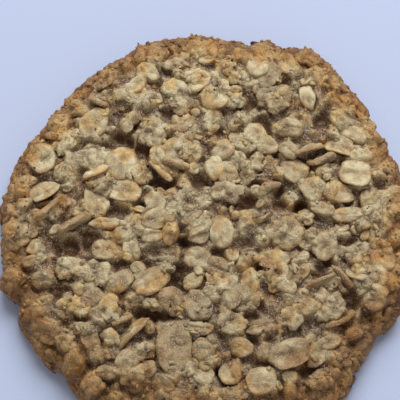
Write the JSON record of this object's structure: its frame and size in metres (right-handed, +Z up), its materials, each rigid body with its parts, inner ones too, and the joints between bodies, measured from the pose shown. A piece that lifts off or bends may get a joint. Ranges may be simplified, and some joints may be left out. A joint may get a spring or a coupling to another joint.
{
  "type": "oatmeal cookie",
  "caption": "Round baked oatmeal cookie with an uneven domed top of pressed-in rolled oats and dough lumps, on a flat underside.",
  "frame": {"origin": "below the middle of the cookie, on the surface that it lies on", "axes": "+Z up through the cookie, -Y towards the side nearest the viewer in the picture, +X to the right"},
  "size_m": [0.0906, 0.0912, 0.0118],
  "materials": {
    "baked_dough": "matte",
    "rolled_oats": "matte"
  },
  "bodies": {
    "root": {"cookie": "baked_dough"}
  },
  "joints": []
}
